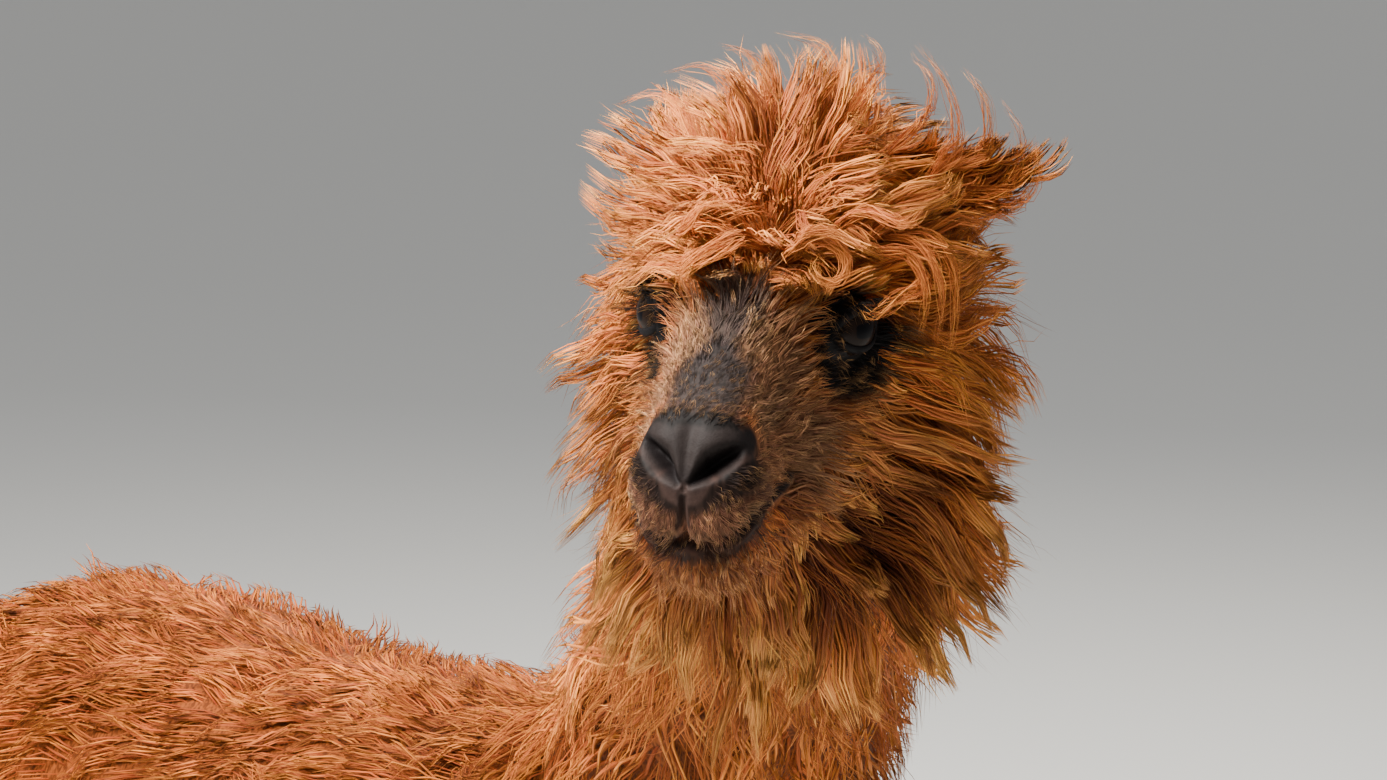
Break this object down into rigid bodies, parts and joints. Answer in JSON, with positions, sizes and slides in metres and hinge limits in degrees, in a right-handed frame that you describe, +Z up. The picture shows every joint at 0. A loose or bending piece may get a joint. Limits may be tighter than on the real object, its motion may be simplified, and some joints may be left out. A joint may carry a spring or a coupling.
{
  "type": "alpaca",
  "caption": "Standing huacaya alpaca with a long shaggy head fleece, neck reaching forward and head turned to its right.",
  "frame": {"origin": "on the floor, under the middle of the bounding box", "axes": "+X the way the body faces, +Y to the animal's left, +Z up"},
  "size_m": [1.393, 0.6636, 1.4028],
  "materials": {
    "fleece": "long rust-brown wool with golden tips",
    "face": "short greyish brown hair over dark skin",
    "eye": "wet gloss",
    "nail": "dull horn"
  },
  "bodies": {
    "root": {"barrel": "fleece", "ear_left": "fleece", "ear_right": "fleece", "eye_left": "eye", "eye_right": "eye", "foreleg_left_foot": "face", "foreleg_left_nail_left": "nail", "foreleg_left_nail_right": "nail", "foreleg_left_shank": "fleece", "foreleg_left_upper": "fleece", "foreleg_right_foot": "face", "foreleg_right_nail_left": "nail", "foreleg_right_nail_right": "nail", "foreleg_right_shank": "fleece", "foreleg_right_upper": "fleece", "head": "fleece", "hindleg_left_foot": "face", "hindleg_left_nail_left": "nail", "hindleg_left_nail_right": "nail", "hindleg_left_shank": "fleece", "hindleg_left_upper": "fleece", "hindleg_right_foot": "face", "hindleg_right_nail_left": "nail", "hindleg_right_nail_right": "nail", "hindleg_right_shank": "fleece", "hindleg_right_upper": "fleece", "hindquarters": "fleece", "lower_jaw": "face", "muzzle": "face", "neck_lower": "fleece", "neck_upper": "fleece", "shoulders": "fleece", "tail": "fleece"}
  },
  "joints": []
}
